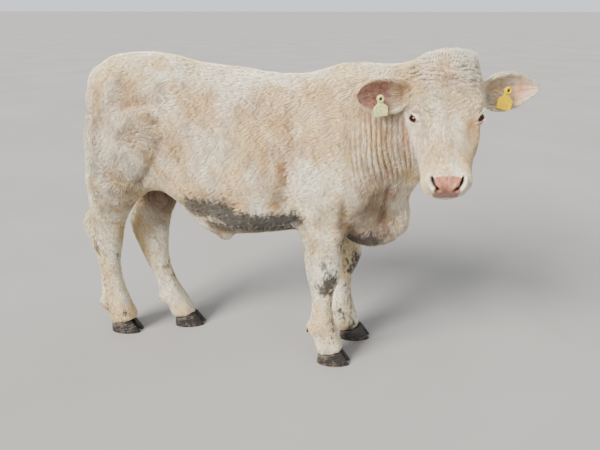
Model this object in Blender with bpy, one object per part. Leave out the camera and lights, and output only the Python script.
"""A young Charolais bull at life size, standing with its head turned to its right.

X runs forward along the back, Y to the animal's left and Z up; lengths are metres.
The flesh is modelled whole: oval sections along the trunk, neck, head and limbs are
lofted, fused and smoothed, and thin cuts then part it into head, neck, torso, tail
and legs. Claws, dewclaws, eyes, ears and ear tags are pieces of their own.
"""

import math
import random
from collections import namedtuple

import bmesh
import bpy
from mathutils import Matrix, Vector

# Driving dimensions of the animal
WITHERS_HEIGHT = 1.20
HEAD_LENGTH = 0.436
TRUNK_HALF_WIDTH = 0.245
GAP = 0.0003
SEAT_GAP = 0.0005
# Share of a small piece that is sunk into what it grows from
SINK_SHARE = 0.17

# Fineness of the fused flesh, and the rounds of softening above each height
BODY_VOXEL = 0.0085
BODY_TRIANGLES = 6200
HEAD_VOXEL = 0.0045
HEAD_TRIANGLES = 3100
SWITCH_VOXEL = 0.0035
SWITCH_TRIANGLES = 800
BODY_SOFTENING = ((0.66, 44), (0.56, 10), (0.0, 5))
HEAD_SOFTENING = 14
CURL_SOFTENING = 2
RING_POINTS = 32
RINGS_PER_SPAN = 4

# Oval section of the trunk, across X: crown and keel say how much of the width
# is left near the top and the bottom
Section = namedtuple("Section", "x top bottom half_width crown keel")
TRUNK = (
    Section(-1.018, 1.095, 1.000, 0.035, 0.9, 0.9),
    Section(-0.996, 1.155, 0.880, 0.090, 0.9, 0.9),
    Section(-0.955, 1.200, 0.800, 0.150, 0.9, 0.8),
    Section(-0.890, 1.219, 0.760, 0.190, 0.9, 0.8),
    Section(-0.800, 1.226, 0.730, 0.212, 0.88, 0.8),
    Section(-0.700, 1.221, 0.680, 0.222, 0.85, 0.8),
    Section(-0.620, 1.204, 0.585, 0.226, 0.8, 0.8),
    Section(-0.520, 1.190, 0.540, 0.240, 0.8, 0.85),
    Section(-0.420, 1.181, 0.540, TRUNK_HALF_WIDTH, 0.75, 0.85),
    Section(-0.320, 1.164, 0.556, TRUNK_HALF_WIDTH, 0.7, 0.8),
    Section(-0.220, 1.160, 0.572, 0.230, 0.6, 0.75),
    Section(-0.120, 1.184, 0.578, 0.208, 0.5, 0.7),
    Section(-0.030, WITHERS_HEIGHT + 0.008, 0.570, 0.192, 0.45, 0.7),
    Section(0.050, 1.200, 0.575, 0.172, 0.5, 0.7),
    Section(0.120, 1.150, 0.600, 0.140, 0.6, 0.7),
    Section(0.180, 1.070, 0.660, 0.090, 0.8, 0.8),
)
TRUNK_SQUARE = 2.3
TRUNK_MIDDLE = 0.45

# Level section of a leg: rear and front edge in the side view, its middle across
# the animal and its half width
Level = namedtuple("Level", "z rear front y half_width")
NEAR_FORE = (
    Level(0.960, -0.190, 0.060, -0.120, 0.060),
    Level(0.860, -0.205, 0.070, -0.130, 0.072),
    Level(0.780, -0.214, 0.050, -0.132, 0.074),
    Level(0.720, -0.206, 0.016, -0.123, 0.068),
    Level(0.660, -0.187, 0.000, -0.112, 0.061),
    Level(0.580, -0.174, -0.008, -0.102, 0.055),
    Level(0.500, -0.164, -0.012, -0.095, 0.050),
    Level(0.440, -0.157, -0.014, -0.094, 0.053),
    Level(0.390, -0.149, -0.020, -0.094, 0.050),
    Level(0.345, -0.136, -0.038, -0.094, 0.038),
    Level(0.290, -0.132, -0.044, -0.094, 0.034),
    Level(0.235, -0.134, -0.040, -0.094, 0.035),
    Level(0.185, -0.140, -0.030, -0.094, 0.045),
    Level(0.140, -0.134, -0.014, -0.094, 0.044),
    Level(0.095, -0.118, 0.000, -0.094, 0.047),
    Level(0.030, -0.104, 0.014, -0.094, 0.048),
)
NEAR_HIND = (
    Level(1.080, -0.930, -0.680, -0.100, 0.085),
    Level(0.980, -0.988, -0.665, -0.116, 0.098),
    Level(0.880, -1.012, -0.662, -0.124, 0.098),
    Level(0.790, -1.030, -0.700, -0.124, 0.092),
    Level(0.730, -1.046, -0.760, -0.120, 0.080),
    Level(0.670, -1.060, -0.840, -0.109, 0.065),
    Level(0.615, -1.080, -0.885, -0.096, 0.052),
    Level(0.560, -1.120, -0.920, -0.086, 0.044),
    Level(0.520, -1.127, -0.941, -0.081, 0.043),
    Level(0.457, -1.113, -0.961, -0.075, 0.044),
    Level(0.395, -1.100, -0.982, -0.074, 0.037),
    Level(0.336, -1.098, -0.994, -0.074, 0.034),
    Level(0.275, -1.101, -0.994, -0.074, 0.034),
    Level(0.220, -1.106, -0.987, -0.074, 0.037),
    Level(0.170, -1.110, -0.977, -0.074, 0.045),
    Level(0.125, -1.105, -0.967, -0.074, 0.044),
    Level(0.085, -1.092, -0.955, -0.074, 0.047),
    Level(0.030, -1.086, -0.942, -0.074, 0.048),
)
FAR_HIND = (
    Level(1.080, -0.930, -0.680, 0.100, 0.085),
    Level(0.980, -0.985, -0.650, 0.116, 0.098),
    Level(0.880, -0.985, -0.640, 0.122, 0.098),
    Level(0.790, -0.970, -0.650, 0.114, 0.090),
    Level(0.720, -0.960, -0.690, 0.100, 0.078),
    Level(0.650, -0.956, -0.740, 0.082, 0.062),
    Level(0.590, -0.966, -0.767, 0.066, 0.050),
    Level(0.535, -0.990, -0.787, 0.054, 0.044),
    Level(0.490, -0.988, -0.799, 0.045, 0.043),
    Level(0.430, -0.968, -0.807, 0.038, 0.043),
    Level(0.370, -0.946, -0.813, 0.035, 0.037),
    Level(0.310, -0.926, -0.811, 0.034, 0.034),
    Level(0.255, -0.906, -0.798, 0.034, 0.034),
    Level(0.205, -0.890, -0.779, 0.034, 0.037),
    Level(0.160, -0.876, -0.757, 0.034, 0.045),
    Level(0.120, -0.862, -0.738, 0.034, 0.044),
    Level(0.080, -0.840, -0.718, 0.034, 0.047),
    Level(0.030, -0.828, -0.702, 0.034, 0.048),
)
LEG_SQUARE = 2.2
# The far fore leg is the near one mirrored and set forward, most at the knee
FAR_FORE_SHIFTS = ((0.0, 0.046), (0.25, 0.056), (0.45, 0.064), (0.70, 0.035), (1.0, 0.0))

# Swelling of muscle, bone or skin: an egg with its three radii, turned about Y and
# leaning its top towards the middle
Egg = namedtuple("Egg", "x y z along across tall turn lean")
MUSCLES = (
    Egg(-0.078, 0.112, 0.930, 0.125, 0.072, 0.200, -14, 14),
    Egg(-0.020, 0.130, 0.800, 0.110, 0.066, 0.105, 30, 0),
    Egg(-0.650, 0.116, 1.122, 0.085, 0.052, 0.050, 8, 0),
    Egg(-0.850, 0.116, 1.060, 0.135, 0.084, 0.120, 8, 10),
    Egg(-0.895, 0.120, 0.920, 0.110, 0.090, 0.170, 6, 0),
    Egg(-0.750, 0.144, 0.850, 0.085, 0.066, 0.120, -18, 0),
    Egg(-0.960, 0.056, 1.085, 0.036, 0.038, 0.045, 0, 0),
)
BRISKET = (
    Egg(0.080, 0.0, 0.610, 0.120, 0.080, 0.095, 0, 0),
    Egg(0.165, 0.0, 0.640, 0.070, 0.052, 0.095, 12, 0),
    Egg(-0.545, 0.0, 0.545, 0.090, 0.042, 0.045, 14, 0),
    Egg(-0.520, 0.0, 0.505, 0.034, 0.026, 0.034, 0, 0),
    Egg(-0.805, -0.008, 0.655, 0.042, 0.036, 0.062, -8, 0),
)

# Oval section along a bent path, with its up and down reach and its half width
Bend = namedtuple("Bend", "x y z rise drop half_width")
NECK = (
    Bend(-0.120, 0.000, 0.930, 0.250, 0.260, 0.150),
    Bend(0.000, -0.004, 0.960, 0.245, 0.270, 0.158),
    Bend(0.090, -0.016, 0.985, 0.224, 0.250, 0.140),
    Bend(0.165, -0.036, 1.010, 0.204, 0.215, 0.122),
    Bend(0.225, -0.070, 1.035, 0.182, 0.185, 0.108),
    Bend(0.262, -0.115, 1.055, 0.150, 0.150, 0.098),
)
DEWLAP = (
    Bend(0.020, 0.000, 0.640, 0.080, 0.085, 0.040),
    Bend(0.110, -0.004, 0.660, 0.120, 0.120, 0.036),
    Bend(0.180, -0.014, 0.740, 0.150, 0.130, 0.034),
    Bend(0.225, -0.040, 0.850, 0.120, 0.100, 0.034),
    Bend(0.255, -0.085, 0.930, 0.080, 0.070, 0.040),
)

# The head's own frame: it starts at the poll and runs down the face to the muzzle
POLL = Vector((0.280, -0.106, 1.241))
HEAD_HEADING = -85.0
HEAD_SLOPE = 48.0
HEAD_ROLL = 4.5
HEAD_MIDDLE = Vector((0.25, 0.0, -0.09))
MUZZLE_MIDDLE = Vector((0.40, 0.0, -0.05))
# Section of the head: s from the poll towards the muzzle, the face line's height,
# how deep the head is below it, its half width and how square it is
Slice = namedtuple("Slice", "s face depth half_width square crown keel")
HEAD = (
    Slice(-0.022, -0.040, 0.060, 0.055, 2.0, 1.0, 1.0),
    Slice(0.002, 0.002, 0.135, 0.088, 2.2, 0.95, 0.9),
    Slice(0.045, 0.018, 0.178, 0.105, 2.4, 0.95, 0.85),
    Slice(0.090, 0.019, 0.198, 0.110, 2.5, 0.97, 0.8),
    Slice(0.140, 0.015, 0.208, 0.110, 2.5, 0.93, 0.76),
    Slice(0.190, 0.009, 0.208, 0.106, 2.4, 0.87, 0.76),
    Slice(0.240, 0.004, 0.190, 0.101, 2.3, 0.78, 0.78),
    Slice(0.290, 0.000, 0.162, 0.091, 2.3, 0.72, 0.80),
    Slice(0.335, -0.004, 0.141, 0.079, 2.4, 0.78, 0.85),
    Slice(0.372, -0.003, 0.130, 0.073, 2.6, 0.87, 0.92),
    Slice(0.402, -0.005, 0.124, 0.071, 2.7, 0.92, 0.92),
    Slice(0.424, -0.012, 0.108, 0.063, 2.5, 0.92, 0.9),
    Slice(HEAD_LENGTH, -0.032, 0.070, 0.042, 2.1, 1.0, 1.0),
)
# Share of the head's depth that lies above the middle of each slice
FACE_SHARE = 0.42
# Swellings of the head: place along, across and above the face line, and radii
Lump = namedtuple("Lump", "s v w along across tall")
HEAD_LUMPS = (
    Lump(0.160, 0.080, -0.014, 0.050, 0.028, 0.024),
    Lump(0.236, 0.079, -0.062, 0.055, 0.024, 0.028),
    Lump(0.198, 0.070, -0.044, 0.042, 0.025, 0.034),
    Lump(0.220, 0.072, -0.130, 0.075, 0.032, 0.065),
    Lump(0.392, 0.050, -0.044, 0.040, 0.023, 0.036),
    Lump(0.396, 0.042, -0.084, 0.032, 0.028, 0.022),
    Lump(0.392, 0.014, -0.103, 0.034, 0.034, 0.016),
)

# Curly hair of the poll, as rounded clumps: rows from front to back
CURL_ROWS = ((0.062, 0.013, 4), (0.040, 0.017, 5), (0.016, 0.015, 6), (-0.006, 0.004, 6),
             (-0.024, -0.018, 5))
CURL_PITCH = 0.031
CURL_RADIUS = 0.0165
CURL_SHAPE = Vector((1.15, 1.0, 0.85))
CURL_SCATTER = 0.003
# How fast the rows fall away from the middle of the brow
CURL_FALL = 4.2

# Eyes with the lids round them
EYE_RADIUS = 0.0200
EYE_PLACE = Vector((0.198, 0.0880, -0.040))
EYE_LOOK = Vector((0.10, 0.81, 0.56))
EYE_CORNER_LINE = Vector((1.0, 0.0, -0.30))
LID_REACH = 0.0245
LID_HALF_LENGTH = 0.0235
LID_BEADS = 9
LID_HUG = 0.85
# Height above the middle of the eye and thickness of each lid's beads
UPPER_LID = (0.0150, 0.0064)
LOWER_LID = (-0.0142, 0.0054)

# Nostrils and mouth line
NOSTRIL_PLACE = Vector((0.430, 0.033, -0.022))
NOSTRIL_RADII = Vector((0.0135, 0.0085, 0.0165))
NOSTRIL_TURN = 24.0
MOUTH_START = 0.372
MOUTH_LEVEL = -0.086
MOUTH_SLIT = 0.0013
# The wedge bends round the muzzle from one corner of the mouth to the other; its thin
# edge lies inside the lips and its wide edge well outside them
MOUTH_BEND = 208.0
MOUTH_STEPS = 18
MOUTH_REACH = 0.072
MOUTH_EDGES = ((0.80, 0.0), (1.50, 1.0), (1.50, -1.0))
MOUTH_CORNER_STRETCH = 1.6
MOUTH_CORNER_DROP = 0.016

# Ears: base and tip as seen in the photo, and the way each opens
EAR_THICKNESS = 0.0062
EAR_COLUMNS = 7
# Share of the width from base to tip. The near ear turns its rounded side to the camera,
# the far one shows its point.
ROUND_OUTLINE = ((0.0, 0.50), (0.12, 0.78), (0.3, 0.97), (0.5, 1.0), (0.7, 0.90), (0.86, 0.66),
                 (0.96, 0.34), (1.0, 0.12))
POINTED_OUTLINE = ((0.0, 0.58), (0.10, 0.82), (0.3, 1.0), (0.5, 0.96), (0.7, 0.76), (0.86, 0.46),
                   (0.96, 0.20), (1.0, 0.08))
# How deep the cup is at both ends, and the round stem that it grows from
EAR_CUP = (0.55, 0.25)
EAR_CUP_MIDDLE = 0.6
EAR_STEM = (-0.06, 0.08)
EAR_STEM_ROUND = 0.75
EAR_EDGE_THINNING = 0.45
EAR_EDGE_WRAP = 1.02
EAR_RINGS = (-0.14, -0.05, 0.02, 0.10, 0.20, 0.32, 0.45, 0.58, 0.70, 0.80, 0.88, 0.94, 0.98, 1.0)
# The tag's hole is a share of the length out and a drop below the middle line
Ear = namedtuple("Ear", "name base tip opening width outline hole_share hole_drop")
EARS = (
    Ear("right_ear", Vector((0.180, -0.146, 1.124)), Vector((0.032, -0.226, 1.121)),
        Vector((0.02, -1.0, 0.02)), 0.102, ROUND_OUTLINE, 0.57, 0.009),
    Ear("left_ear", Vector((0.402, -0.096, 1.134)), Vector((0.586, -0.010, 1.146)),
        Vector((-0.18, -1.0, 0.02)), 0.114, POINTED_OUTLINE, 0.40, 0.0),
)

# Ear tags: a stud through the ear holds a bare plate in front of it
TAG_PLATE = (0.053, 0.044, 0.0026)
TAG_SHOULDER = 0.009
TAG_CORNER = 0.005
# Half outline of the neck above the plate, from its top down: across and down
TAG_NECK = ((0.0063, -0.013), (0.0108, -0.004), (0.009, 0.016))
TAG_STUD_RADIUS = 0.0030
TAG_HOLE_RADIUS = 0.0035
TAG_BUTTON_RADIUS = 0.0135
TAG_CAP_RADIUS = 0.0081
TAG_CAP_THICKNESS = 0.003
# The pin's reach behind and in front of the hole
TAG_PIN = (0.0232, 0.0165)
TAG_HOLE_REACH = 0.03
TAG_STAND = 0.0095
TAG_LEAN = 0.12

# Tail: path and radius from the tail head down to the switch
Cord = namedtuple("Cord", "x y z radius")
TAIL = (
    Cord(-0.945, 0.0, 1.150, 0.030),
    Cord(-0.988, 0.0, 1.144, 0.029),
    Cord(-1.020, 0.0, 1.100, 0.025),
    Cord(-1.034, 0.0, 1.000, 0.021),
    Cord(-1.042, 0.0, 0.880, 0.018),
    Cord(-1.050, 0.0, 0.760, 0.0155),
    Cord(-1.060, 0.0, 0.660, 0.0135),
    Cord(-1.066, 0.0, 0.590, 0.0125),
)
SWITCH_TOP = 0.600
SWITCH_TIP = 0.350
SWITCH_LOCKS = 9
SWITCH_CORE = (0.024, 0.026, 0.080)
SWITCH_SPREAD = (0.016, 0.026)
SWITCH_RAGGEDNESS = 0.075
# Along a lock: how far down it is, how far it stands out, and its radius
LOCK_PATH = ((0.08, 0.2, 0.008), (0.28, 0.8, 0.013), (0.55, 1.1, 0.0125), (1.0, 0.7, 0.0035))

# Claws: half a foot each, their outline from heel to toe and from the cleft outwards
CLAW_OUTLINE = (
    (0.00, 0.16), (0.25, 0.05), (0.60, 0.04), (0.86, 0.08), (0.97, 0.18), (1.00, 0.30),
    (0.95, 0.48), (0.82, 0.70), (0.62, 0.89), (0.40, 0.99), (0.18, 0.95), (0.04, 0.78),
    (-0.01, 0.50),
)
CLAW_WIDTH = 0.051
CLAW_HEEL = -0.066
CLAW_TOE = 0.073
CLAW_HEEL_LEAN = 0.006
CLAW_TOE_LEAN = 0.045
CLEFT_HALF = 0.0012
CORONET = 0.056
CORONET_SLOPE = 0.26
FOOT_ROOM = (0.30, 0.16, 0.20)
# Height up the claw, how far it has narrowed and how much of its lean it has taken
CLAW_RINGS = ((0.0, 0.93, 0.04), (0.05, 1.0, 0.05), (0.35, 0.98, 0.36), (0.72, 0.94, 0.72),
              (1.0, 0.88, 1.0))
Foot = namedtuple("Foot", "name x y turn dewclaw_x dewclaw_z")
FEET = (
    Foot("right_fore", -0.034, -0.094, -3.0, -0.132, 0.158),
    Foot("left_fore", 0.034, 0.096, 3.0, -0.066, 0.158),
    Foot("right_hind", -1.010, -0.074, -4.0, -1.102, 0.142),
    Foot("left_hind", -0.744, 0.034, 6.0, -0.862, 0.138),
)
DEWCLAW_SPREAD = 0.021
DEWCLAW_RADII = (0.0125, 0.0106, 0.020)
DEWCLAW_ROOT_SHARE = 0.7
DEWCLAW_SLOPE = -128.0

# Thin cuts that part the flesh: a point in the cut, the way it faces and its reach
Cut = namedtuple("Cut", "point facing across tall")
CUTS = (
    Cut((0.258, -0.077, 1.05), (0.45, -0.89, 0.0), 0.36, 0.62),
    Cut((0.080, 0.0, 0.93), (0.992, 0.0, 0.128), 0.60, 0.90),
    Cut((-0.668, 0.0, 0.88), (1.0, 0.0, 0.0), 0.70, 0.90),
    Cut((-0.080, -0.130, 0.500), (0.0, 0.0, 1.0), 0.20, 0.26),
    Cut((-0.020, 0.130, 0.500), (0.0, 0.0, 1.0), 0.20, 0.26),
    Cut((-0.085, -0.130, 0.300), (0.0, 0.0, 1.0), 0.20, 0.26),
    Cut((-0.025, 0.130, 0.300), (0.0, 0.0, 1.0), 0.20, 0.26),
    Cut((-1.015, -0.125, 0.575), (0.0, 0.0, 1.0), 0.27, 0.22),
    Cut((-0.875, 0.110, 0.575), (0.0, 0.0, 1.0), 0.27, 0.22),
    Cut((-1.040, -0.125, 0.395), (0.0, 0.0, 1.0), 0.22, 0.24),
    Cut((-0.880, 0.110, 0.395), (0.0, 0.0, 1.0), 0.22, 0.24),
)
HEAD_CUT = CUTS[0]
# Each piece of flesh is known by the middle of the box round it
FLESH = {
    "neck": (0.15, -0.02, 0.88),
    "torso": (-0.30, 0.0, 0.85),
    "hindquarters": (-0.87, 0.0, 0.90),
    "right_forearm": (-0.09, -0.11, 0.40),
    "left_forearm": (-0.03, 0.11, 0.40),
    "right_fore_shank": (-0.07, -0.11, 0.17),
    "left_fore_shank": (-0.01, 0.11, 0.17),
    "right_hock": (-1.02, -0.10, 0.48),
    "left_hock": (-0.88, 0.06, 0.48),
    "right_hind_shank": (-1.02, -0.10, 0.22),
    "left_hind_shank": (-0.83, 0.05, 0.22),
}

# Materials: colour, roughness
FINISHES = {
    "coat": ((0.74, 0.63, 0.47), 0.85),
    "hoof": ((0.16, 0.14, 0.12), 0.60),
    "eye": ((0.03, 0.02, 0.02), 0.15),
    "tag": ((0.78, 0.75, 0.28), 0.45),
}
FINISH_OF_NAME = (("_tag", "tag"), ("claw", "hoof"), ("eye", "eye"))


def clear_scene():
    for item in list(bpy.data.objects):
        bpy.data.objects.remove(item)


def add_object(name, bm):
    """Stores the bmesh as a mesh object in the scene."""
    mesh = bpy.data.meshes.new(name)
    bm.to_mesh(mesh)
    bm.free()
    item = bpy.data.objects.new(name, mesh)
    bpy.context.collection.objects.link(item)
    return item


def catmull_rom(a, b, c, d, t):
    """Point at t between b and c on the smooth curve through a, b, c and d."""
    return 0.5 * (
        2 * b + (c - a) * t + (2 * a - 5 * b + 4 * c - d) * t * t + (3 * b - a - 3 * c + d) * t**3
    )


def refine(stations, per_span=RINGS_PER_SPAN):
    """More stations of the same kind, on smooth curves through the given ones."""
    kind = type(stations[0])
    finer = []
    for i in range(len(stations) - 1):
        four = [stations[min(max(i + k, 0), len(stations) - 1)] for k in (-1, 0, 1, 2)]
        for step in range(per_span):
            t = step / per_span
            finer.append(kind(*(catmull_rom(*values, t) for values in zip(*four))))
    finer.append(stations[-1])
    return finer


def oval(centre, side, up, half_width, rise, drop, square, crown=1.0, keel=1.0):
    """Points of an oval ring; crown and keel narrow its top and its bottom."""
    points = []
    for k in range(RING_POINTS):
        turn = 2 * math.pi * k / RING_POINTS
        tall = math.copysign(abs(math.cos(turn)) ** (2 / square), math.cos(turn))
        wide = math.copysign(abs(math.sin(turn)) ** (2 / square), math.sin(turn))
        narrowing = 1 - (1 - crown) * max(tall, 0) - (1 - keel) * max(-tall, 0)
        reach = rise if tall > 0 else drop
        points.append(centre + side * (wide * half_width * narrowing) + up * (tall * reach))
    return points


def loft(name, rings):
    """Closed tube through the rings, which all run the same way round."""
    bm = bmesh.new()
    loops = []
    for ring in rings:
        corners = [bm.verts.new(point) for point in ring]
        loops.append([bm.edges.new((corners[k - 1], corners[k])) for k in range(len(corners))])
    for first, second in zip(loops, loops[1:]):
        bmesh.ops.bridge_loops(bm, edges=first + second)
    bmesh.ops.holes_fill(bm, edges=bm.edges[:], sides=0)
    bmesh.ops.recalc_face_normals(bm, faces=bm.faces[:])
    return add_object(name, bm)


def egg(name, centre, radii, turn=None):
    """Smooth egg with three radii."""
    bm = bmesh.new()
    bmesh.ops.create_icosphere(bm, subdivisions=3, radius=1.0)
    shape = Matrix.Translation(centre) @ (turn or Matrix()) @ Matrix.Diagonal((*radii, 1.0))
    bmesh.ops.transform(bm, matrix=shape, verts=bm.verts[:])
    return add_object(name, bm)


def trunk():
    rings = []
    for cut in refine(TRUNK):
        centre = Vector((cut.x, 0, cut.bottom + TRUNK_MIDDLE * (cut.top - cut.bottom)))
        rise, drop = cut.top - centre.z, centre.z - cut.bottom
        rings.append(
            oval(centre, Vector((0, 1, 0)), Vector((0, 0, 1)), cut.half_width, rise, drop,
                 TRUNK_SQUARE, cut.crown, cut.keel)
        )
    return loft("trunk", rings)


def leg(name, levels):
    rings = []
    for cut in refine(levels):
        centre = Vector(((cut.rear + cut.front) / 2, cut.y, cut.z))
        reach = (cut.front - cut.rear) / 2
        rings.append(
            oval(centre, Vector((0, 1, 0)), Vector((1, 0, 0)), cut.half_width, reach, reach,
                 LEG_SQUARE)
        )
    return loft(name, rings)


def between(knots, x):
    """Value at x on the straight runs through the knots."""
    for (low, before), (high, after) in zip(knots, knots[1:]):
        if x <= high:
            return before + (after - before) * (x - low) / (high - low)
    return knots[-1][1]


def far_fore():
    """The near fore leg mirrored to the left side and set forward by its shifts."""
    levels = []
    for cut in NEAR_FORE:
        shift = between(FAR_FORE_SHIFTS, cut.z)
        levels.append(
            Level(cut.z, cut.rear + shift, cut.front + shift, -cut.y, cut.half_width)
        )
    return levels


def bent_tube(name, bends, square=2.2):
    """Loft along a bent path: each ring stands square to the path."""
    fine = refine(bends)
    middles = [Vector((b.x, b.y, b.z)) for b in fine]
    rings = []
    for i, bend in enumerate(fine):
        ahead = middles[min(i + 1, len(middles) - 1)] - middles[max(i - 1, 0)]
        level = Vector((ahead.x, ahead.y, 0)).normalized()
        side = Vector((0, 0, 1)).cross(level)
        up = Vector((0, 0, 1))
        rings.append(oval(middles[i], side, up, bend.half_width, bend.rise, bend.drop, square))
    return loft(name, rings)


def head_frame():
    """Matrix from the head's own s, v, w to the animal's frame."""
    heading, slope = math.radians(HEAD_HEADING), math.radians(HEAD_SLOPE)
    level = Vector((math.cos(heading), math.sin(heading), 0))
    along = level * math.cos(slope) - Vector((0, 0, 1)) * math.sin(slope)
    left = Vector((0, 0, 1)).cross(level)
    normal = along.cross(left)
    turn = Matrix((along, left, normal)).transposed().to_4x4()
    return Matrix.Translation(POLL) @ turn @ Matrix.Rotation(math.radians(HEAD_ROLL), 4, "X")


def head_egg(place, radii):
    frame = head_frame()
    return egg("lump", frame @ Vector(place), radii, frame.to_3x3().to_4x4())


def eye_axes(side):
    """Middle of an eye, the way it looks, its corner to corner line and its up line."""
    frame = head_frame()
    middle = frame @ Vector((EYE_PLACE.x, EYE_PLACE.y * side, EYE_PLACE.z))
    turn = frame.to_3x3()
    look = (turn @ Vector((EYE_LOOK.x, EYE_LOOK.y * side, EYE_LOOK.z))).normalized()
    along = turn @ EYE_CORNER_LINE
    along = (along - look * along.dot(look)).normalized()
    up = look.cross(along) * side
    return middle, look, along, up


def lids(side):
    """Beads along both lids; the fused skin closes over them."""
    middle, look, along, up = eye_axes(side)
    beads = []
    for height, radius in (UPPER_LID, LOWER_LID):
        for k in range(LID_BEADS):
            t = -1 + 2 * k / (LID_BEADS - 1)
            spot = along * (LID_HALF_LENGTH * t) + up * (height * (1 - t * t))
            reach = math.sqrt(LID_REACH**2 - spot.length_squared * LID_HUG)
            beads.append(egg("lid", middle + spot + look * reach, (radius, radius, radius)))
    return beads


def poll_curls():
    rng = random.Random(11)
    clumps = []
    for s, w, count in CURL_ROWS:
        for k in range(count):
            v = (k - (count - 1) / 2) * CURL_PITCH
            scatter = Vector([rng.uniform(-CURL_SCATTER, CURL_SCATTER) for _ in range(3)])
            place = Vector((s, v, w - CURL_FALL * v * v)) + scatter
            clumps.append(head_egg(place, CURL_SHAPE * (CURL_RADIUS * rng.uniform(0.9, 1.1))))
    return clumps


def skull():
    frame = head_frame()
    rings = []
    for cut in refine(HEAD):
        rise = FACE_SHARE * cut.depth
        centre = Vector((cut.s, 0, cut.face - rise))
        ring = oval(centre, Vector((0, 1, 0)), Vector((0, 0, 1)), cut.half_width, rise,
                    cut.depth - rise, cut.square, cut.crown, cut.keel)
        rings.append([frame @ point for point in ring])
    pieces = [loft("skull", rings)]
    for lump in HEAD_LUMPS:
        for side in (1, -1):
            pieces.append(head_egg((lump.s, lump.v * side, lump.w),
                                   (lump.along, lump.across, lump.tall)))
    return pieces


def muscles():
    pieces = []
    for one in MUSCLES:
        for side in (1, -1):
            turn = Matrix.Rotation(math.radians(one.lean * side), 4, "X")
            turn = turn @ Matrix.Rotation(math.radians(one.turn), 4, "Y")
            pieces.append(egg("muscle", (one.x, one.y * side, one.z),
                              (one.along, one.across, one.tall), turn))
    for one in BRISKET:
        turn = Matrix.Rotation(math.radians(one.turn), 4, "Y")
        pieces.append(egg("brisket", (one.x, one.y, one.z),
                          (one.along, one.across, one.tall), turn))
    return pieces


def joined(name, items):
    """One object from several; the others are removed."""
    bm = bmesh.new()
    for item in items:
        bm.from_mesh(item.data)
        bpy.data.objects.remove(item)
    return add_object(name, bm)


def applied(item):
    """Bakes the object's modifiers into its mesh."""
    graph = bpy.context.evaluated_depsgraph_get()
    mesh = bpy.data.meshes.new_from_object(item.evaluated_get(graph))
    item.modifiers.clear()
    item.data = mesh
    return item


def fused(item, voxel):
    """One closed skin over all the pieces."""
    remesh = item.modifiers.new("fuse", "REMESH")
    remesh.mode = "VOXEL"
    remesh.voxel_size = voxel
    return applied(item)


def softened(item, passes):
    """Smooths the skin; each pass has a test of the points it moves and its rounds."""
    bm = bmesh.new()
    bm.from_mesh(item.data)
    for wanted, rounds in passes:
        corners = [v for v in bm.verts if wanted(v.co)]
        for _ in range(rounds):
            bmesh.ops.smooth_vert(bm, verts=corners, factor=0.5, use_axis_x=True,
                                  use_axis_y=True, use_axis_z=True)
    bm.to_mesh(item.data)
    bm.free()
    return item


def thinned(item, triangles):
    """Fewer triangles, kept where the form turns."""
    item.data.calc_loop_triangles()
    decimate = item.modifiers.new("thin", "DECIMATE")
    decimate.ratio = triangles / len(item.data.loop_triangles)
    return applied(item)


def carved(item, cutter, keep=False):
    """Takes the cutter's room out of the object."""
    boolean = item.modifiers.new("cut", "BOOLEAN")
    boolean.operation = "DIFFERENCE"
    boolean.solver = "EXACT"
    boolean.object = cutter
    applied(item)
    if not keep:
        bpy.data.objects.remove(cutter)
    return item


def block(name, middle, axes, sizes):
    """Box with its own three axes."""
    bm = bmesh.new()
    bmesh.ops.create_cube(bm, size=1.0)
    turn = Matrix(axes).transposed().to_4x4()
    shape = Matrix.Translation(middle) @ turn @ Matrix.Diagonal((*sizes, 1.0))
    bmesh.ops.transform(bm, matrix=shape, verts=bm.verts[:])
    bmesh.ops.recalc_face_normals(bm, faces=bm.faces[:])
    return add_object(name, bm)


def slab(cut):
    """Thin cutter in the plane of the cut: across is level, tall runs up the plane."""
    facing = Vector(cut.facing).normalized()
    guide = Vector((0, 1, 0)) if abs(facing.z) > 0.9 else Vector((0, 0, 1))
    across = guide.cross(facing).normalized()
    tall = facing.cross(across)
    return block("slab", Vector(cut.point), (across, tall, facing), (cut.across, cut.tall, GAP))


def swollen(item, gap=SEAT_GAP):
    """Copy of the object, larger by the gap all round, to cut its seat with."""
    bm = bmesh.new()
    bm.from_mesh(item.data)
    bm.normal_update()
    moves = [(v, v.normal.copy()) for v in bm.verts]
    for v, normal in moves:
        v.co += normal * gap
    return add_object("seat", bm)


def loose_parts(item):
    """Splits the object into its separate shells."""
    source = bmesh.new()
    source.from_mesh(item.data)
    source.verts.ensure_lookup_table()
    seen = set()
    parts = []
    for start in source.verts:
        if start.index in seen:
            continue
        shell, queue = [], [start]
        seen.add(start.index)
        while queue:
            corner = queue.pop()
            shell.append(corner.index)
            for edge in corner.link_edges:
                other = edge.other_vert(corner)
                if other.index not in seen:
                    seen.add(other.index)
                    queue.append(other)
        parts.append(set(shell))
    items = []
    for shell in parts:
        piece = source.copy()
        piece.verts.ensure_lookup_table()
        bmesh.ops.delete(piece, geom=[v for v in piece.verts if v.index not in shell],
                         context="VERTS")
        items.append(add_object("piece", piece))
    source.free()
    bpy.data.objects.remove(item)
    return items


def largest_shell(item):
    """Keeps only the biggest closed surface of the object."""
    name = item.name
    shells = sorted(loose_parts(item), key=lambda one: len(one.data.vertices))
    for scrap in shells[:-1]:
        bpy.data.objects.remove(scrap)
    shells[-1].name = name
    return shells[-1]


def box_middle(item):
    points = [v.co for v in item.data.vertices]
    return Vector([(min(p[i] for p in points) + max(p[i] for p in points)) / 2 for i in range(3)])


def flesh_sources():
    return [trunk(), leg("near_fore", NEAR_FORE), leg("far_fore", far_fore()),
            leg("near_hind", NEAR_HIND), leg("far_hind", FAR_HIND)] + muscles()


def neck_sources():
    return [bent_tube("neck", NECK), bent_tube("dewlap", DEWLAP)] + skull()


def anywhere(_point):
    return True


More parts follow.
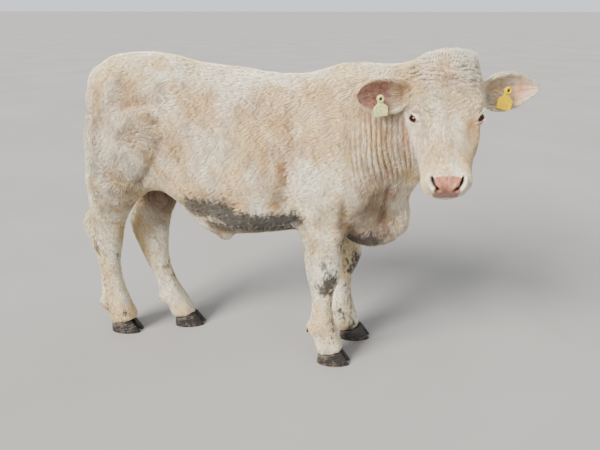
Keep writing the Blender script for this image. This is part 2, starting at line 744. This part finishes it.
def in_front_of_cut(point):
    return (point - Vector(HEAD_CUT.point)).dot(Vector(HEAD_CUT.facing).normalized()) > 0


def make_head():
    """The head with its curls and lids, parted from the neck behind the jaw."""
    plain = softened(fused(joined("plain", neck_sources()), HEAD_VOXEL), [(anywhere, HEAD_SOFTENING)])
    pieces = [plain] + poll_curls() + lids(1) + lids(-1)
    head = fused(joined("head", pieces), HEAD_VOXEL)
    softened(head, [(anywhere, CURL_SOFTENING)])
    thinned(head, HEAD_TRIANGLES * 2)
    carved(head, slab(HEAD_CUT))
    muzzle = head_frame() @ MUZZLE_MIDDLE
    shells = sorted(loose_parts(head), key=lambda one: (box_middle(one) - muzzle).length)
    for other in shells[1:]:
        bpy.data.objects.remove(other)
    head = shells[0]
    head.name = "head"
    return thinned(head, HEAD_TRIANGLES)


def make_flesh():
    """Trunk, neck and legs, fused, softened, thinned and parted."""
    body = fused(joined("body", flesh_sources() + neck_sources()), BODY_VOXEL)
    for height, rounds in BODY_SOFTENING:
        softened(body, [(lambda p: p.z > height and not in_front_of_cut(p), rounds)])
    thinned(body, BODY_TRIANGLES)
    for cut in CUTS:
        carved(body, slab(cut))
    shells = loose_parts(body)
    named = {}
    head_middle = head_frame() @ HEAD_MIDDLE
    for shell in shells:
        middle = box_middle(shell)
        label, spot = min(
            list(FLESH.items()) + [("spare_head", head_middle)],
            key=lambda pair: (Vector(pair[1]) - middle).length,
        )
        if label in named or label == "spare_head":
            bpy.data.objects.remove(shell)
            continue
        shell.name = label
        named[label] = shell
    return named


def make_claw(foot, side):
    """Half of a foot: side is 1 for the claw on the animal's left of the cleft."""
    turn = Matrix.Translation((foot.x, foot.y, 0)) @ Matrix.Rotation(math.radians(foot.turn), 4, "Z")
    rings = []
    for height, width, lean in CLAW_RINGS:
        ring = []
        for u, w in CLAW_OUTLINE:
            toe = CLAW_TOE - CLAW_TOE_LEAN * lean
            heel = CLAW_HEEL + CLAW_HEEL_LEAN * lean
            x = heel + (toe - heel) * u
            y = side * (CLEFT_HALF + CLAW_WIDTH * width * w)
            top = CORONET + CORONET_SLOPE * x - GAP
            ring.append(turn @ Vector((x, y, height * top)))
        rings.append(ring)
    which = "outer" if side * foot.y > 0 else "inner"
    return loft(f"{foot.name}_{which}_claw", rings)


def foot_room(foot):
    """Room of the claws under a leg, with its sloping top at the coronet."""
    turn = Matrix.Rotation(math.radians(foot.turn), 3, "Z") @ Matrix.Rotation(
        -math.atan(CORONET_SLOPE), 3, "Y")
    axes = [turn @ Vector(axis) for axis in ((1, 0, 0), (0, 1, 0), (0, 0, 1))]
    top = Vector((foot.x, foot.y, CORONET))
    return block("foot_room", top - axes[2] * (FOOT_ROOM[2] / 2), axes, FOOT_ROOM)


def make_dewclaw(foot, side):
    turn = Matrix.Translation((foot.dewclaw_x, foot.y + side * DEWCLAW_SPREAD, foot.dewclaw_z))
    turn = turn @ Matrix.Rotation(math.radians(foot.turn), 4, "Z")
    turn = turn @ Matrix.Rotation(math.radians(DEWCLAW_SLOPE), 4, "Y")
    bm = bmesh.new()
    bmesh.ops.create_uvsphere(bm, u_segments=8, v_segments=5, radius=1.0)
    for v in bm.verts:
        v.co.z *= 1.0 if v.co.z > 0 else DEWCLAW_ROOT_SHARE
    shape = turn @ Matrix.Diagonal((*DEWCLAW_RADII, 1.0))
    bmesh.ops.transform(bm, matrix=shape, verts=bm.verts[:])
    which = "outer" if side * foot.y > 0 else "inner"
    return add_object(f"{foot.name}_{which}_dewclaw", bm)


def make_eye(name, side):
    middle, look, along, up = eye_axes(side)
    bm = bmesh.new()
    bmesh.ops.create_uvsphere(bm, u_segments=16, v_segments=8, radius=EYE_RADIUS)
    turn = Matrix((along, up, look)).transposed().to_4x4()
    bmesh.ops.transform(bm, matrix=Matrix.Translation(middle) @ turn, verts=bm.verts[:])
    bmesh.ops.recalc_face_normals(bm, faces=bm.faces[:])
    return add_object(name, bm)


def ear_axes(ear):
    along = (ear.tip - ear.base).normalized()
    opening = (ear.opening - along * ear.opening.dot(along)).normalized()
    return along, along.cross(opening), opening


def make_ear(ear):
    """Cupped leaf on a short stem, thickest down its middle."""
    along, side, opening = ear_axes(ear)
    rings = []
    for u in EAR_RINGS:
        half = 0.5 * ear.width * between(ear.outline, max(u, 0))
        cup = EAR_CUP[0] + (EAR_CUP[1] - EAR_CUP[0]) * max(u, 0)
        blade = min(max((u - EAR_STEM[0]) / (EAR_STEM[1] - EAR_STEM[0]), 0), 1)
        middle = ear.base.lerp(ear.tip, u)
        front, back = [], []
        for k in range(EAR_COLUMNS):
            a = -1 + 2 * k / (EAR_COLUMNS - 1)
            sink = half * cup * (a * a - EAR_CUP_MIDDLE)
            stem = half * EAR_STEM_ROUND * math.sqrt(max(1 - a * a, 0.0))
            thick = EAR_THICKNESS * (1 - EAR_EDGE_THINNING * a * a)
            inner = sink * blade + stem * (1 - blade)
            outer = (sink - thick) * blade - (stem + thick / 2) * (1 - blade)
            front.append(middle + side * (half * a) + opening * inner)
            back.append(middle + side * (half * a * EAR_EDGE_WRAP) + opening * outer)
        rings.append(front + back[::-1])
    return loft(ear.name, rings)


def tag_axes(ear):
    """Stud hole in the ear, with the way down for the plate and the way out."""
    along, side, opening = ear_axes(ear)
    down = Vector((0, 0, -1)) - opening * Vector((0, 0, -1)).dot(opening)
    down.normalize()
    return ear.base.lerp(ear.tip, ear.hole_share) + down * ear.hole_drop, down, opening


def rod(name, start, end, radius, segments=10):
    axis = end - start
    bm = bmesh.new()
    bmesh.ops.create_cone(bm, cap_ends=True, segments=segments, radius1=radius, radius2=radius,
                          depth=axis.length)
    turn = axis.to_track_quat("Z", "Y").to_matrix().to_4x4()
    bmesh.ops.transform(bm, matrix=Matrix.Translation((start + end) / 2) @ turn, verts=bm.verts[:])
    return add_object(name, bm)


def make_plate(ear):
    """Bare plate with a narrow neck round the stud."""
    hole, down, out = tag_axes(ear)
    across = down.cross(out)
    width, height, thick = TAG_PLATE
    top = TAG_NECK[-1][1]
    half = TAG_NECK + (
        (width / 2, top + TAG_SHOULDER),
        (width / 2, top + height - TAG_CORNER),
        (width / 2 - TAG_CORNER, top + height),
    )
    outline = half + tuple((-x, y) for x, y in reversed(half))
    rings = []
    for lift in (TAG_STAND, TAG_STAND + thick):
        ring = []
        for x, y in outline:
            lean = TAG_LEAN * max(y - top / 2, 0)
            ring.append(hole + across * x + down * y + out * (lift + lean))
        rings.append(ring)
    return loft(ear.name + "_tag", rings)


def fit_tag(ear, ear_item):
    """The plate in front of the ear and its stud, seated through ear and plate."""
    hole, down, out = tag_axes(ear)
    plate = make_plate(ear)
    back, front = hole - out * TAG_PIN[0], hole + out * TAG_PIN[1]
    reach = out * TAG_HOLE_REACH
    room = rod("room", hole - reach, hole + reach, TAG_HOLE_RADIUS)
    carved(ear_item, room, keep=True)
    carved(plate, room)
    cap = out * TAG_CAP_THICKNESS
    stud = united(
        rod("pin", back, front, TAG_STUD_RADIUS),
        [
            rod("button", back - cap, back + cap * SINK_SHARE, TAG_BUTTON_RADIUS, 14),
            rod("cap", front - cap * SINK_SHARE, front + cap, TAG_CAP_RADIUS, 14),
        ],
    )
    stud.name = ear.name + "_tag_stud"
    return [plate, stud]


def united(item, others):
    for other in others:
        boolean = item.modifiers.new("unite", "BOOLEAN")
        boolean.operation = "UNION"
        boolean.solver = "EXACT"
        boolean.object = other
        applied(item)
        bpy.data.objects.remove(other)
    return item


def round_tube(name, cords, points=12):
    """Round tube along a path in the animal's middle plane or near it."""
    fine = refine(cords, 3)
    rings = []
    for i, cord in enumerate(fine):
        here = Vector((cord.x, cord.y, cord.z))
        before, after = fine[max(i - 1, 0)], fine[min(i + 1, len(fine) - 1)]
        ahead = Vector((after.x - before.x, after.y - before.y, after.z - before.z)).normalized()
        side = Vector((0, 1, 0))
        up = ahead.cross(side).normalized()
        side = up.cross(ahead).normalized()
        rings.append([
            here + side * (cord.radius * math.cos(2 * math.pi * k / points))
            + up * (cord.radius * math.sin(2 * math.pi * k / points))
            for k in range(points)
        ])
    return loft(name, rings)


def make_switch():
    """Tuft of the tail: tapered locks fused into one piece."""
    rng = random.Random(4)
    end = TAIL[-1]
    locks = [egg("core", (end.x, end.y, SWITCH_TOP - SWITCH_CORE[2]), SWITCH_CORE)]
    for k in range(SWITCH_LOCKS):
        turn = 2 * math.pi * k / SWITCH_LOCKS
        spread = rng.uniform(*SWITCH_SPREAD)
        length = SWITCH_TOP - SWITCH_TIP - rng.uniform(0, SWITCH_RAGGEDNESS)
        path = [
            Cord(end.x + spread * out * math.cos(turn), end.y + spread * out * math.sin(turn),
                 SWITCH_TOP - length * down, radius)
            for down, out, radius in LOCK_PATH
        ]
        locks.append(round_tube("lock", path, 10))
    switch = fused(joined("tail_switch", locks), SWITCH_VOXEL)
    softened(switch, [(anywhere, CURL_SOFTENING)])
    return thinned(switch, SWITCH_TRIANGLES)


def mouth_cutter():
    """Thin curved wedge along the lips, round the front of the muzzle."""
    frame = head_frame()
    rings = []
    for k in range(MOUTH_STEPS + 1):
        turn = math.radians(MOUTH_BEND * (k / MOUTH_STEPS - 0.5))
        along, across = math.cos(turn), math.sin(turn)
        if along < 0:
            along *= MOUTH_CORNER_STRETCH
        level = MOUTH_LEVEL - MOUTH_CORNER_DROP * (1 - abs(math.cos(turn)))
        ring = []
        for share, lift in MOUTH_EDGES:
            reach = MOUTH_REACH * share
            height = level + lift * MOUTH_SLIT * share
            ring.append(frame @ Vector((MOUTH_START + along * reach, across * reach, height)))
        rings.append(ring)
    return loft("mouth_cutter", rings)


def nostril_cutter(side):
    frame = head_frame()
    middle = frame @ Vector((NOSTRIL_PLACE.x, NOSTRIL_PLACE.y * side, NOSTRIL_PLACE.z))
    turn = frame.to_3x3().to_4x4() @ Matrix.Rotation(math.radians(side * NOSTRIL_TURN), 4, "X")
    bm = bmesh.new()
    bmesh.ops.create_uvsphere(bm, u_segments=12, v_segments=8, radius=1.0)
    shape = Matrix.Translation(middle) @ turn @ Matrix.Diagonal((*NOSTRIL_RADII, 1.0))
    bmesh.ops.transform(bm, matrix=shape, verts=bm.verts[:])
    return add_object("nostril_cutter", bm)


def finish_of(name):
    for word, finish in FINISH_OF_NAME:
        if word in name:
            return finish
    return "coat"


def make_finishes():
    finishes = {}
    for name, (colour, roughness) in FINISHES.items():
        material = bpy.data.materials.new(name)
        material.use_nodes = True
        shader = material.node_tree.nodes["Principled BSDF"]
        shader.inputs["Base Color"].default_value = (*colour, 1.0)
        shader.inputs["Roughness"].default_value = roughness
        finishes[name] = material
    return finishes


def settle(items):
    """Stands the animal with the middle of its box over the origin, on the floor.

    Each piece turns about the middle of its own box and hangs on one empty.
    """
    points = [v.co for item in items for v in item.data.vertices]
    low = [min(p[i] for p in points) for i in range(3)]
    high = [max(p[i] for p in points) for i in range(3)]
    shift = Vector(((low[0] + high[0]) / 2, (low[1] + high[1]) / 2, low[2]))
    holder = bpy.data.objects.new("bull", None)
    bpy.context.collection.objects.link(holder)
    finishes = make_finishes()
    for item in items:
        middle = box_middle(item)
        item.data.transform(Matrix.Translation(-middle))
        item.location = middle - shift
        item.parent = holder
        item.data.materials.clear()
        item.data.materials.append(finishes[finish_of(item.name)])
        item.data.shade_smooth()
        item.data.set_sharp_from_angle(angle=math.radians(50))
    return shift


def make_ears(head, neck):
    """Both ears, trimmed where they meet head and neck, with their tags."""
    ears, tags = [], []
    for ear in EARS:
        item = make_ear(ear)
        carved(item, swollen(head))
        carved(item, swollen(neck))
        item = largest_shell(item)
        tags += fit_tag(ear, item)
        ears.append(item)
    return ears + tags


def make_feet(flesh):
    """Claws and dewclaws, with the shanks cut to meet them."""
    pieces = []
    for foot in FEET:
        shank = flesh[foot.name + "_shank"]
        carved(shank, foot_room(foot))
        for side in (1, -1):
            pieces.append(make_claw(foot, side))
            dewclaw = make_dewclaw(foot, side)
            carved(shank, swollen(dewclaw))
            pieces.append(dewclaw)
        flesh[foot.name + "_shank"] = largest_shell(shank)
    return pieces


def make_eyes(head):
    eyes = [make_eye("left_eye", 1), make_eye("right_eye", -1)]
    for eye in eyes:
        carved(head, swollen(eye))
    return eyes


def make_tail(flesh):
    """The tail in its cleft, and the switch at its end."""
    tail = round_tube("tail", TAIL)
    switch = make_switch()
    carved(switch, swollen(tail))
    carved(flesh["hindquarters"], swollen(tail))
    flesh["hindquarters"] = largest_shell(flesh["hindquarters"])
    return [tail, largest_shell(switch)]


def build():
    """Makes every piece; returns how far the finished animal was moved."""
    clear_scene()
    flesh = make_flesh()
    head = make_head()
    eyes = make_eyes(head)
    carved(head, mouth_cutter())
    for side in (1, -1):
        carved(head, nostril_cutter(side))
    head = largest_shell(head)
    ears = make_ears(head, flesh["neck"])
    tail = make_tail(flesh)
    feet = make_feet(flesh)
    return settle(list(flesh.values()) + [head] + eyes + ears + tail + feet)


SHIFT_DONE = build()
